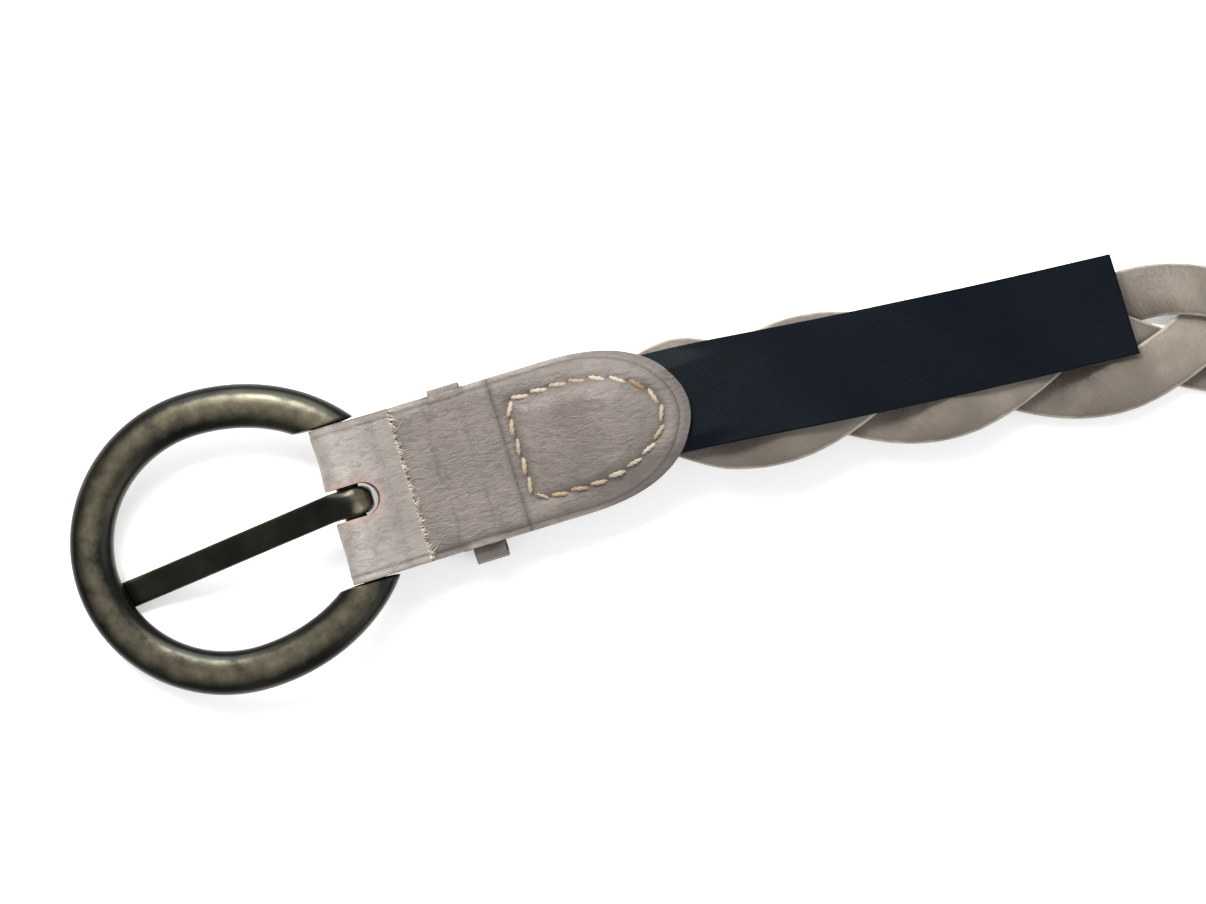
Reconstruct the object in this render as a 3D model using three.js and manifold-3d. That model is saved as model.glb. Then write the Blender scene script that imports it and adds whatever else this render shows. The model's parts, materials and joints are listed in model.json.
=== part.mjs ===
// A braided leather waist belt with a round ring buckle, lying at full length on its outer face.
// +X runs from the buckle to the belt's tip, +Y is across the belt and +Z is up, towards the face
// that is worn against the body. Millimetres. The origin is the bottom centre of the whole belt.
import * as THREE from "three";
import { mergeVertices } from "three/addons/utils/BufferGeometryUtils.js";
import Module from "manifold-3d";

const wasm = await Module();
wasm.setup();

// Overall sizes
const beltLength = 900; // buckle bar to the end of the tip
const ringHalfHeight = 34;
const ringHalfLengthFar = 35.6; // ring centre to its far side
const ringHalfLengthNear = 41.7; // ring centre to where its near side would close
const ringCentreToBar = 29.5;
const ringBand = 9.8; // radial width of the ring's metal
const ringThickness = 6.4;
const barRadius = 2.5;
const chapeWidth = 35; // the folded leather end that holds the buckle
const chapeLength = 77;
const chapeRounding = 27; // length of its rounded end
const strandWidth = 12.4;
const strandThickness = 1.5;
const firstCrossing = 42.8; // from the bar to where the first strand crosses the belt's middle line
const usualPitch = 112.5; // length in which one strand goes once from side to side and back

// Leather panels
const leather = 1.8;
const foldLegEnd = 13.3; // where the short leg of the fold stops
const coverEnd = 36; // where the keeper's cover meets the rounded end patch
const tipWidth = 33;
const tipLength = 70;
const tipRounding = 22;
const slotWidth = 7.4;
const slotLength = 7.8; // from the bar's axis to the end of the tongue slot, on both legs
const strandsInsideChape = 26;
const strandsInsideTip = 20;
const mouth = 17; // length over which the braid opens to its full width beside a sewn end
const patchCrownEdge = 2; // from the drawn-in strands to where the patch starts to come down
const tipCrownEdge = 1;
const patchFlat = 1.2; // how far the patch lies level with the cover before it rises
const tipFall = 14; // length over which the tip thins past the strands
const tipRise = 60;

// Buckle tongue
const tongueWidth = 6.2;
const tongueThickness = 2.2;
const tongueReach = 64;
const tongueSkew = 0.1; // sideways lean of the blade per length
const tongueWrap = 200; // degrees that the root curls round the bar after its highest point

// Keeper loop
const keeperWidth = 7;
const keeperLeather = 1.6;
const keeperStart = 22.5;
const keeperSlack = 2.4; // how far it stands out past the chape's lower edge

// Label and thread
const labelWidth = 23;
const labelLength = 118;
const labelThickness = 0.5;
const labelStart = 58;
const labelShift = 1;
const labelSlope = 0.06;
const threadRadius = 0.45;
const chapeSeamInset = 6;
const tipSeamInset = 4.5;
const seamSteps = 44;
const seamEdge = 2.6; // from the patch's straight edge to its row of stitches

// How the belt lies on its surface
const swayStart = 50;
const swayLength = 40;
const swayReturn = 230;
const swayReturnLength = 160;
const swaySlope = 0.148;

// Clearances
const gap = 0.3; // between pieces that touch
const ringClearance = 1.2; // ring beside the chape's edges
const barClearance = 0.4; // leather fold round the bar
const tongueClearance = 0.3; // tongue curl round the bar
const strandClearance = 0.95; // between the strands where they cross
const keeperClearance = 0.6; // over the braid that passes through the keeper
const surfaceClearance = 0.05; // under the braid and the tongue's end

// Braid: the height of a strand's middle surface over the braid's middle plane, as shares of the spacing
// of two crossing strands. With these four terms each strand always passes clear of the next.
const liftTerms = { sway: 0.86, ripple: 0.23, tilt: 0.13, tiltRipple: 0.32 };
const greatestLift = 1.05; // over every phase and width, with a little to spare
const strandSpacing = strandThickness + strandClearance;
const braidHalfThickness = greatestLift * strandSpacing + strandThickness / 2;
const braidSwing = 0.823 * strandWidth; // sideways travel of a strand's middle line
const drawnHalf = tipWidth / 2 - tipSeamInset; // half the braid's width where its sewn ends hold it
const drawIn = 1 - drawnHalf / (braidSwing + strandWidth / 2);
const patchCrown = drawnHalf + patchCrownEdge; // half the width of the patch's raised middle
const tipCrown = drawnHalf + tipCrownEdge;
const strandsStart = chapeLength - strandsInsideChape;
const tipStart = beltLength - tipLength;
const braidRun = tipStart - firstCrossing;
const braidPitch = braidRun / Math.round(braidRun / usualPitch); // ends at a crossing, at the tip's edge

// Heights, from the surface up
const keeperGap = 2 * braidHalfThickness + keeperClearance;
const frontBottom = keeperLeather + keeperGap;
const frontTop = frontBottom + leather;
const foldRadius = barRadius + barClearance;
const barHeight = frontTop + foldRadius;
const keeperRunBottom = frontTop + gap;
const coverBottom = keeperRunBottom + keeperLeather + gap;
const chapeBraidHeight = frontTop + gap + braidHalfThickness;
const labelLift = braidHalfThickness + gap + labelThickness / 2;
const patchTopInside = chapeBraidHeight + labelLift + labelThickness / 2 + gap;
const openBraidHeight = braidHalfThickness + surfaceClearance;
const tipBraidHeight = leather + gap + braidHalfThickness;
const tipPanelTopInside = tipBraidHeight + braidHalfThickness + gap;

// Zero before 0, one after 1, and smooth between
const ease = (t) => {
  const u = Math.min(Math.max(t, 0), 1);
  return u * u * (3 - 2 * u);
};

// The area under ease(), which grows without end after 1
const easeSum = (t) => {
  const u = Math.min(Math.max(t, 0), 1);
  return u ** 3 - u ** 4 / 2 + Math.max(t - 1, 0);
};

// Sideways place of the belt's middle line at x: it leaves the chape at a slight angle and comes back straight
function sway(x) {
  const out = swayLength * easeSum((x - swayStart) / swayLength);
  const back = swayReturnLength * easeSum((x - swayReturn) / swayReturnLength);
  return -swaySlope * (out - back);
}

// Height of the braid's middle plane at x: high in the chape, down on the surface, then up inside the tip
function braidHeight(x) {
  const fall = ease((x - chapeLength) / braidPitch);
  const rise = ease((x - tipStart + tipRise) / tipRise);
  return (
    chapeBraidHeight +
    (openBraidHeight - chapeBraidHeight) * fall +
    (tipBraidHeight - openBraidHeight) * rise
  );
}

// How far the strands are drawn in sideways at x: fully inside the two sewn ends, not at all between
function squeeze(x) {
  const opens = ease((x - chapeLength + mouth) / (1.3 * mouth));
  const closes = ease((x - tipStart + mouth) / mouth);
  return 1 - drawIn * (1 - opens) - drawIn * closes;
}

// A closed body from rings of points: the rings either close on themselves or end in flat caps, which
// join each point of the ring's first half to the one facing it in the second
function sweep(rings, closed) {
  const count = rings[0].length;
  const index = [];
  const last = closed ? rings.length : rings.length - 1;
  for (let i = 0; i < last; i++) {
    const here = i * count;
    const next = ((i + 1) % rings.length) * count;
    for (let j = 0; j < count; j++) {
      const k = (j + 1) % count;
      index.push(here + j, here + k, next + k, here + j, next + k, next + j);
    }
  }
  if (!closed) {
    const end = (rings.length - 1) * count;
    for (let j = 0; j < count / 2 - 1; j++) {
      const k = count - 1 - j;
      index.push(j, k, k - 1, j, k - 1, j + 1);
      index.push(end + j, end + j + 1, end + k - 1, end + j, end + k - 1, end + k);
    }
  }
  const geometry = new THREE.BufferGeometry().setFromPoints(rings.flat());
  geometry.setIndex(index);
  return geometry;
}

// A strip of one thickness along a line of 2-D points, as a closed outline
function stripShape(line, thickness) {
  const left = [];
  const right = [];
  line.forEach((point, i) => {
    const before = line[Math.max(i - 1, 0)];
    const after = line[Math.min(i + 1, line.length - 1)];
    const along = after.clone().sub(before).normalize();
    const side = new THREE.Vector2(-along.y, along.x).multiplyScalar(thickness / 2);
    left.push(point.clone().add(side));
    right.unshift(point.clone().sub(side));
  });
  return new THREE.Shape([...left, ...right]);
}

// Points on a circle from one angle to another, in degrees
function arc(centreX, centreY, radius, from, to, steps) {
  return Array.from({ length: steps + 1 }, (_, i) => {
    const angle = THREE.MathUtils.degToRad(from + ((to - from) * i) / steps);
    return new THREE.Vector2(centreX + radius * Math.cos(angle), centreY + radius * Math.sin(angle));
  });
}

// A side profile, drawn in x and z, stretched across the belt
function across(shape, width) {
  const geometry = new THREE.ExtrudeGeometry(shape, { depth: width, bevelEnabled: false });
  return geometry.rotateX(Math.PI / 2).translate(0, width / 2, 0);
}

// A plan outline, drawn in x and y, stretched from one height to another
function upright(shape, bottom, top) {
  const geometry = new THREE.ExtrudeGeometry(shape, { depth: top - bottom, bevelEnabled: false });
  return geometry.translate(0, 0, bottom);
}

function solid(geometry) {
  geometry.deleteAttribute("normal");
  geometry.deleteAttribute("uv");
  const merged = mergeVertices(geometry, 1e-4);
  return new wasm.Manifold(
    new wasm.Mesh({
      numProp: 3,
      vertProperties: merged.attributes.position.array,
      triVerts: new Uint32Array(merged.index.array),
    }),
  );
}

function geometryOf(made) {
  const mesh = made.getMesh();
  return new THREE.BufferGeometry()
    .setAttribute("position", new THREE.BufferAttribute(mesh.vertProperties, 3))
    .setIndex(new THREE.BufferAttribute(mesh.triVerts, 1));
}

const belt = new THREE.Group();

const leatherFinish = { color: 0xb9a99e, roughness: 0.62, metalness: 0 };
const paleLeatherFinish = { color: 0xcbbcb0, roughness: 0.7, metalness: 0 };
const antiqueBrassFinish = { color: 0x5b5340, roughness: 0.38, metalness: 0.9 };
const satinFinish = { color: 0x161c24, roughness: 0.45, metalness: 0 };
const threadFinish = { color: 0xd8c2a4, roughness: 0.8, metalness: 0 };

function add(name, geometry, finish, parent = belt) {
  const mesh = new THREE.Mesh(geometry, new THREE.MeshStandardMaterial(finish));
  mesh.name = name;
  parent.add(mesh);
  return mesh;
}

// Everything on the bar is drawn round the bar's own axis, and tips down until the tongue's end
// touches the surface.
const tongueUnderRing = ringThickness / 2 + gap + tongueThickness / 2;
const lowestReach = Math.hypot(tongueReach, tongueUnderRing + tongueThickness / 2);
const lowestAngle = Math.atan2(tongueUnderRing + tongueThickness / 2, tongueReach);
const buckle = new THREE.Group();
buckle.position.z = barHeight;
buckle.rotation.y = lowestAngle - Math.asin((barHeight - surfaceClearance) / lowestReach);
belt.add(buckle);

// Buckle frame: a cast oval ring whose near side is a straight round bar. Sections stand in planes
// through the ring's centre, and change from the ring's band to the bar beside the chape's edges.
function buckleFrame() {
  const steps = 68;
  const sides = 12;
  const change = 0.12; // angle over which the section changes
  const barEdge = chapeWidth / 2 + ringClearance;
  const oval = (angle, inset) => {
    const half = Math.cos(angle) > 0 ? ringHalfLengthNear : ringHalfLengthFar;
    return 1 / Math.hypot(Math.cos(angle) / (half - inset), Math.sin(angle) / (ringHalfHeight - inset));
  };
  const blended = (angle, inset, barSide) => {
    const off = Math.abs(Math.atan2(Math.sin(angle), Math.cos(angle)));
    const barLine = ringCentreToBar + barSide;
    const leaves = Math.atan2(barEdge, barLine);
    const share = ease((off - leaves) / change);
    return (barLine / Math.cos(Math.min(off, leaves + change))) * (1 - share) + oval(angle, inset) * share;
  };
  const rings = Array.from({ length: steps }, (_, i) => {
    const angle = (2 * Math.PI * i) / steps;
    const outer = blended(angle, 0, barRadius);
    const inner = blended(angle, ringBand, -barRadius);
    const off = Math.abs(Math.atan2(Math.sin(angle), Math.cos(angle)));
    const share = ease((off - Math.atan2(barEdge, ringCentreToBar - barRadius)) / change);
    const thickness = 2 * barRadius + (ringThickness - 2 * barRadius) * share;
    const squareness = 1 - 0.16 * share;
    return Array.from({ length: sides }, (_, j) => {
      const turn = (2 * Math.PI * j) / sides;
      const out = Math.sign(Math.cos(turn)) * Math.abs(Math.cos(turn)) ** squareness;
      const up = -Math.sign(Math.sin(turn)) * Math.abs(Math.sin(turn)) ** squareness;
      const radius = (outer + inner) / 2 + (out * (outer - inner)) / 2;
      return new THREE.Vector3(
        radius * Math.cos(angle) - ringCentreToBar,
        radius * Math.sin(angle),
        (up * thickness) / 2,
      );
    });
  });
  return sweep(rings, true);
}
add("buckle_frame", buckleFrame(), antiqueBrassFinish, buckle);

// Buckle tongue: a flat strip curled round the bar at its root, whose blade slopes down and passes
// under the ring's far side.
function buckleTongue() {
  const curl = barRadius + tongueClearance + tongueThickness / 2;
  const knee = new THREE.Vector2(ringBand + 4 - tongueReach, -tongueUnderRing);
  const slope = Math.atan2(-knee.y, -knee.x) + Math.asin(curl / knee.length());
  const top = 90 + THREE.MathUtils.radToDeg(slope);
  const line = [
    new THREE.Vector2(-tongueReach, -tongueUnderRing),
    knee,
    ...arc(0, 0, curl, top, top - tongueWrap, 20),
  ];
  const geometry = across(stripShape(line, tongueThickness), tongueWidth);
  const place = geometry.attributes.position;
  for (let i = 0; i < place.count; i++) {
    const past = Math.min(place.getX(i) + curl, 0);
    place.setY(i, place.getY(i) + tongueSkew * past);
  }
  return geometry;
}
add("buckle_tongue", buckleTongue(), antiqueBrassFinish, buckle);

// Half the width of a leather end at x: straight sides, then a half-oval
function endHalf(x, end, width, rounding) {
  const into = Math.max(x - end + rounding, 0) / rounding;
  return (width / 2) * Math.sqrt(Math.max(1 - into * into, 0));
}

// Places along a leather end: even along its straight sides, closer together round its oval
function endStations(start, end, rounding) {
  const straight = Math.ceil((end - rounding - start) / 3);
  const places = [];
  for (let i = 0; i < straight; i++) {
    places.push(start + ((end - rounding - start) * i) / straight);
  }
  for (let i = 0; i <= 10; i++) {
    places.push(end - rounding + rounding * Math.sin((i / 10) * 1.5));
  }
  return places;
}

// A leather panel: its underside is at underside(x, y), and its edge follows half(x). It bends most from
// the edge of its crown outwards, so the lanes of its mesh lie at that share of its width.
function panel(places, half, underside, crown = 0.5) {
  const lanes = [crown / 2, crown, crown / 2 + 0.5, 1];
  const shares = [...lanes.map((share) => -share).reverse(), 0, ...lanes];
  const rings = places.map((x) => {
    const low = shares.map((share) => {
      const y = half(x) * share;
      return new THREE.Vector3(x, y, underside(x, y));
    });
    const high = low.map((point) => point.clone().setZ(point.z + leather)).reverse();
    return [...low, ...high];
  });
  return sweep(rings, false);
}

// Chape strap: one leather strip folded round the bar, with a long leg to the rounded end on the
// outer face, a short leg on the inner face, and a slot through both for the tongue.
function chapeStrap() {
  const radius = foldRadius + leather / 2;
  const legHeight = coverBottom + leather / 2 - barHeight;
  const legStart = new THREE.Vector2(foldLegEnd - 4, legHeight);
  const touch = Math.atan2(legStart.y, legStart.x) + Math.acos(radius / legStart.length());
  const line = [
    new THREE.Vector2(foldLegEnd, legHeight),
    legStart,
    ...arc(0, 0, radius, THREE.MathUtils.radToDeg(touch), 270, 22),
    new THREE.Vector2(chapeLength + 1, -radius),
  ];
  const profile = across(stripShape(line, leather), chapeWidth).translate(0, 0, barHeight);
  const plan = new THREE.Shape();
  plan.moveTo(-3 * radius, -chapeWidth);
  for (const x of endStations(chapeLength - chapeRounding, chapeLength, chapeRounding)) {
    plan.lineTo(x, -endHalf(x, chapeLength, chapeWidth, chapeRounding));
  }
  for (const x of endStations(chapeLength - chapeRounding, chapeLength, chapeRounding).reverse()) {
    plan.lineTo(x, endHalf(x, chapeLength, chapeWidth, chapeRounding));
  }
  plan.lineTo(-3 * radius, chapeWidth);
  const slot = new THREE.Shape();
  slot.moveTo(-2 * radius, -slotWidth / 2);
  slot.lineTo(slotLength - slotWidth / 2, -slotWidth / 2);
  slot.absarc(slotLength - slotWidth / 2, 0, slotWidth / 2, -Math.PI / 2, Math.PI / 2, false);
  slot.lineTo(-2 * radius, slotWidth / 2);
  const above = 2 * barHeight;
  const cut = solid(upright(new THREE.Shape(slot.getPoints(8)), 0, above));
  return geometryOf(solid(profile).intersect(solid(upright(plan, 0, above))).subtract(cut));
}
add("chape_strap", chapeStrap(), leatherFinish);

// Keeper loop: a narrow leather band that runs under the cover, round both edges and across the outer
// face, with room below the chape for the belt's free end.
function keeperLoop() {
  const low = -(chapeWidth / 2 + keeperSlack);
  const high = chapeWidth / 2 + gap;
  const roundedBox = (shape, grow) => {
    const radius = keeperLeather * 0.6 + grow;
    const [left, right] = [low - grow, high + grow];
    const [bottom, top] = [keeperLeather - grow, keeperRunBottom + grow];
    shape.moveTo(left + radius, bottom);
    shape.lineTo(right - radius, bottom);
    shape.absarc(right - radius, bottom + radius, radius, -Math.PI / 2, 0, false);
    shape.lineTo(right, top - radius);
    shape.absarc(right - radius, top - radius, radius, 0, Math.PI / 2, false);
    shape.lineTo(left + radius, top);
    shape.absarc(left + radius, top - radius, radius, Math.PI / 2, Math.PI, false);
    shape.lineTo(left, bottom + radius);
    shape.absarc(left + radius, bottom + radius, radius, Math.PI, 1.5 * Math.PI, false);
    return shape;
  };
  const outline = roundedBox(new THREE.Shape(), keeperLeather);
  outline.holes.push(roundedBox(new THREE.Path(), 0));
  const settings = { depth: keeperWidth, bevelEnabled: false, curveSegments: 5 };
  const turned = new THREE.Matrix4().makeBasis(
    new THREE.Vector3(0, 1, 0),
    new THREE.Vector3(0, 0, 1),
    new THREE.Vector3(1, 0, 0),
  );
  const geometry = new THREE.ExtrudeGeometry(outline, settings).applyMatrix4(turned);
  return geometry.translate(keeperStart, 0, 0);
}
add("keeper_loop", keeperLoop(), leatherFinish);

// Keeper cover: a flat leather panel over the keeper's hidden run, from the fold's short leg to the patch
const coverPlaces = [foldLegEnd + gap, (foldLegEnd + coverEnd) / 2, coverEnd];
add("keeper_cover", panel(coverPlaces, () => chapeWidth / 2, () => coverBottom), leatherFinish);

// End patch: the rounded panel sewn over the ends of the strands. It starts level with the cover,
// rises over the braid, and is pressed down along its two edges.
function patchUnderside(x, y) {
  const rampStart = coverEnd + patchFlat;
  const rise = ease((x - rampStart) / (strandsStart - 2 - rampStart));
  const edge = ease((Math.abs(y) - patchCrown) / (chapeWidth / 2 - patchCrown));
  return coverBottom + (patchTopInside - coverBottom) * rise * (1 - edge);
}
const patchHalf = (x) => endHalf(x, chapeLength, chapeWidth, chapeRounding);
const patchPlaces = endStations(coverEnd + gap, chapeLength, chapeRounding);
const patchCrownShare = (2 * patchCrown) / chapeWidth;
add("end_patch", panel(patchPlaces, patchHalf, patchUnderside, patchCrownShare), leatherFinish);

// Strands: three flat leather strips, each swinging from side to side a third of a pitch after the last
function strandLift(phase, share) {
  const { sway: wave, ripple, tilt, tiltRipple } = liftTerms;
  const lean = tilt * Math.cos(phase) + tiltRipple * Math.cos(3 * phase);
  return -strandSpacing * (wave * Math.sin(2 * phase) + ripple * Math.sin(6 * phase) + share * lean);
}

function strand(order) {
  const end = tipStart + strandsInsideTip;
  const steps = Math.round((20 * (end - strandsStart)) / braidPitch);
  const shares = [-1, -0.5, 0, 0.5, 1];
  const rings = Array.from({ length: steps + 1 }, (_, i) => {
    const along = strandsStart + ((end - strandsStart) * i) / steps;
    const turn = (2 * Math.PI) / braidPitch;
    const phase = turn * (along - firstCrossing) + (2 * Math.PI * order) / 3;
    const angle = Math.atan(braidSwing * turn * Math.cos(phase));
    const place = (share, side) => {
      const offset = (share * strandWidth) / 2;
      const x = along - offset * Math.sin(angle);
      const y = braidSwing * Math.sin(phase) + offset * Math.cos(angle);
      const z = braidHeight(x) + strandLift(phase, share) + (side * strandThickness) / 2;
      return new THREE.Vector3(x, sway(x) + squeeze(x) * y, z);
    };
    const below = shares.map((share) => place(share, -1));
    const above = shares.map((share) => place(share, 1)).reverse();
    return [...below, ...above];
  });
  return sweep(rings, false);
}
for (let order = 0; order < 3; order++) {
  add(`strand_${order + 1}`, strand(order), paleLeatherFinish);
}

// Label: a plain satin ribbon, held under the end patch and lying along the braid
function label() {
  const steps = 30;
  const rings = Array.from({ length: steps + 1 }, (_, i) => {
    const x = labelStart + (labelLength * i) / steps;
    const middle = sway(x) + labelShift + labelSlope * (x - labelStart);
    const [left, right] = [middle - labelWidth / 2, middle + labelWidth / 2];
    const bottom = braidHeight(x) + labelLift - labelThickness / 2;
    const top = bottom + labelThickness;
    return [
      new THREE.Vector3(x, left, bottom),
      new THREE.Vector3(x, right, bottom),
      new THREE.Vector3(x, right, top),
      new THREE.Vector3(x, left, top),
    ];
  });
  return sweep(rings, false);
}
add("satin_label", label(), satinFinish);

// Tip panels: two leather panels sewn together over the other ends of the strands
const tipSway = sway(beltLength);
const tipHalf = (x) => endHalf(x, beltLength, tipWidth, tipRounding);
const tipPlaces = endStations(tipStart, beltLength, tipRounding);
function tipUnderside(x, y) {
  const fall = ease((x - tipStart - strandsInsideTip - 3) / tipFall);
  const edge = ease((Math.abs(y) - tipCrown) / (tipWidth / 2 - tipCrown));
  const low = leather + gap;
  return low + (tipPanelTopInside - low) * (1 - fall) * (1 - edge);
}
const tipCrownShare = (2 * tipCrown) / tipWidth;
const tipFront = add("tip_front", panel(tipPlaces, tipHalf, () => 0), leatherFinish);
const tipBack = add("tip_back", panel(tipPlaces, tipHalf, tipUnderside, tipCrownShare), leatherFinish);
tipFront.position.y = tipSway;
tipBack.position.y = tipSway;

// Seams: a closed row of thread round the inside of a rounded end, lying on top of its leather
function seam(start, end, width, rounding, inset, top, lift) {
  const half = width / 2 - inset;
  const line = new THREE.Path();
  line.moveTo(start, -half);
  line.lineTo(end - rounding, -half);
  line.absellipse(end - rounding, 0, rounding - inset, half, -Math.PI / 2, Math.PI / 2, false, 0);
  line.lineTo(start, half);
  line.lineTo(start, -half);
  const points = line.getSpacedPoints(seamSteps).slice(0, -1);
  const route = points.map(({ x, y }) => {
    const slope = Math.atan(top(x + 0.5, y) - top(x - 0.5, y));
    return new THREE.Vector3(x - lift * Math.sin(slope), y, top(x, y) + lift * Math.cos(slope));
  });
  const rings = route.map((point, i) => {
    const next = route[(i + 1) % route.length];
    const before = route[(i + route.length - 1) % route.length];
    const along = next.clone().sub(before).normalize();
    const side = new THREE.Vector3(0, 0, 1).cross(along).normalize();
    const up = along.clone().cross(side);
    return Array.from({ length: 6 }, (_, j) => {
      const turn = (Math.PI * j) / 3;
      const out = side.clone().multiplyScalar(threadRadius * Math.cos(turn));
      return point.clone().add(out).addScaledVector(up, threadRadius * Math.sin(turn));
    });
  });
  return sweep(rings, true);
}

const patchSeam = [coverEnd + seamEdge, chapeLength, chapeWidth, chapeRounding, chapeSeamInset];
const tipSeam = [tipStart + seamEdge, beltLength, tipWidth, tipRounding, tipSeamInset];
const onLeather = leather / 2 + gap + threadRadius;
const patchMiddle = (x, y) => patchUnderside(x, y) + leather / 2;
const tipMiddle = (x, y) => tipUnderside(x, y) + leather / 2;
add("chape_seam_inner", seam(...patchSeam, patchMiddle, onLeather), threadFinish);
add("chape_seam_outer", seam(...patchSeam, () => frontBottom + leather / 2, -onLeather), threadFinish);
add("tip_seam", seam(...tipSeam, tipMiddle, onLeather), threadFinish).position.y = tipSway;

// The origin is moved to the bottom centre of the belt's box
belt.updateMatrixWorld(true);
const box = new THREE.Box3().setFromObject(belt, true);
const centre = box.getCenter(new THREE.Vector3());
belt.position.set(-centre.x, -centre.y, -box.min.z);

export default belt;
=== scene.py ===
import json

import bpy
import numpy as np
from mathutils import Matrix, Vector


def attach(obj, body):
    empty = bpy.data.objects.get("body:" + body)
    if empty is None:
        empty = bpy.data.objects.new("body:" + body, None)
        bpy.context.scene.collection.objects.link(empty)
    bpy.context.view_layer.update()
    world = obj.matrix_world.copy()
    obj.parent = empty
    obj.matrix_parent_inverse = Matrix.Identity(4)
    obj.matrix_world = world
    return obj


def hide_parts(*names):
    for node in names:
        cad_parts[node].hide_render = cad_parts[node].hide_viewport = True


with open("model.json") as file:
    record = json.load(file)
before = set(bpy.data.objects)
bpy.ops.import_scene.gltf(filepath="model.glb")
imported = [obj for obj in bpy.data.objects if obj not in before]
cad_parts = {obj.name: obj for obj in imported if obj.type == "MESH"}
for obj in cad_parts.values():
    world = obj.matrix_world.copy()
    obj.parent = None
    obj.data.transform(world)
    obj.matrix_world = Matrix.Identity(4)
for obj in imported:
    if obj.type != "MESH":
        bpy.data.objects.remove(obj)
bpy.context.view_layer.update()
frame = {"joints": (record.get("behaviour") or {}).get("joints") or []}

# Buckle frame: a cast oval ring whose near side is a straight round bar, plated and then darkened
# to antique brass, with the plating rubbed bright along the crown. The bar lies in the chape's fold.
# All drawing is in millimetres from the bar's middle, straight below it on the surface.
bar_x, bar_y, bar_z = frame["joints"][0]["pos_m"]
bar_height = bar_z * 1000
bar_radius = 2.5
ring_half_height = 34.0
ring_half_far = 35.6
ring_half_near = 41.7
ring_centre_to_bar = 29.5
ring_band = 9.8
ring_thickness = 6.4
ring_squareness = 0.16
ring_clearance = 0.2
shoulder_round = 0.5
crown_share = 0.5
chape_half = 17.5
tongue_thickness = 2.2
tongue_reach = 64.0
gap = 0.3
resting_gap = 0.05

green_black = (0.013, 0.014, 0.013)
brown_black = (0.024, 0.024, 0.02)
dull_brown = (0.05, 0.045, 0.032)
bare_brass = (0.36, 0.32, 0.22)


def full_turn(count):
    """Angles at even steps round a circle."""
    return np.linspace(0, 2 * np.pi, count, endpoint=False)


def powered(wave, power):
    """A wave between -1 and 1 with its size raised to a power and its sign kept."""
    return np.sign(wave) * np.abs(wave) ** power


def near(distance, reach):
    """A bell curve: one where the distance is nothing or less, falling to nothing past its reach."""
    return np.exp(-(np.maximum(distance, 0) / reach) ** 2)


def joined(x, y, z):
    """Three coordinates spread to one shape and put together as points."""
    return np.stack(np.broadcast_arrays(x, y, z), -1)


def add_object(name, data):
    """An object for a mesh, a lamp or a camera, put into the scene."""
    made = bpy.data.objects.new(name, data)
    bpy.context.scene.collection.objects.link(made)
    return made


def make_piece(name, points, faces, materials, body, slot, stands_for=(), **values):
    """A mesh from points in drawing millimetres and faces as rows of indices, on its CAD body, with
    the nodes that it stands for. Its material slot is not used. Its materials read the values: one
    number for each point, or one place in metres."""
    mesh = bpy.data.meshes.new(name)
    placed = np.asarray(points, float).reshape(-1, 3) * 0.001 + np.array([bar_x, bar_y, 0.0])
    mesh.from_pydata(placed.tolist(), [], [tuple(face) for face in faces])
    mesh.polygons.foreach_set("use_smooth", [True] * len(mesh.polygons))
    for material in materials:
        mesh.materials.append(material)
    mesh.update()
    for key, value in values.items():
        kind, field = ("FLOAT_VECTOR", "vector") if key == "place" else ("FLOAT", "value")
        kept = mesh.attributes.new(key, kind, "POINT")
        kept.data.foreach_set(field, np.asarray(value, np.float32).ravel())
    piece = add_object(name, mesh)
    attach(piece, body)
    if stands_for:
        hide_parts(*stands_for)
    return piece


def grid_faces(rows, columns, wrap_rows=False, wrap_columns=False):
    """Quads between neighbours of a grid of rows by columns, which may close on itself either way."""
    i = np.arange(rows if wrap_rows else rows - 1)[:, None]
    j = np.arange(columns if wrap_columns else columns - 1)[None, :]
    below, beside = (i + 1) % rows, (j + 1) % columns
    corners = [i * columns + j, i * columns + beside, below * columns + beside, below * columns + j]
    return np.stack(np.broadcast_arrays(*corners), -1).reshape(-1, 4)


def node(owner, kind, inputs=None, **settings):
    """A shader node in the owner's tree, where the owner is a tree or a socket, with its settings, and
    its inputs linked from sockets or set to values."""
    tree = owner.id_data
    made = tree.nodes.new(kind)
    for key, value in settings.items():
        setattr(made, key, value)
    for key, value in (inputs or {}).items():
        if isinstance(value, bpy.types.NodeSocket):
            tree.links.new(value, made.inputs[key])
        else:
            made.inputs[key].default_value = value
    return made


def new_finish(name, **surface):
    """A material whose one shader carries the finish's uniform values. Returns it and its tree."""
    material = bpy.data.materials.new(name)
    material.use_nodes = True
    shader = material.node_tree.nodes["Principled BSDF"]
    for key, value in surface.items():
        shader.inputs[key.replace("_", " ")].default_value = value
    return material, material.node_tree


def patterned(material, **sockets):
    """The material, with its patterns linked to its shader's inputs of the same names."""
    tree = material.node_tree
    shader = tree.nodes["Principled BSDF"]
    for key, socket in sockets.items():
        tree.links.new(socket, shader.inputs[key.replace("_", " ")])
    return material


def object_place(tree):
    """The piece's own coordinates, in metres."""
    return node(tree, "ShaderNodeTexCoord").outputs["Object"]


def carried(tree, name, output="Fac"):
    """A value that the points of the piece carry."""
    return node(tree, "ShaderNodeAttribute", attribute_name=name).outputs[output]


def noise(where, scale, detail=2.0, rough=0.5, distortion=0.0):
    """Clouded noise between 0 and 1, with its scale in repeats to the metre."""
    inputs = {"Vector": where, "Scale": scale, "Detail": detail, "Roughness": rough}
    return node(where, "ShaderNodeTexNoise", {**inputs, "Distortion": distortion}).outputs["Fac"]


def stretched(where, scale):
    """Coordinates multiplied axis by axis: a pattern on them is drawn out where the scale is small."""
    return node(where, "ShaderNodeMapping", {"Vector": where, "Scale": scale}).outputs["Vector"]


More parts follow.
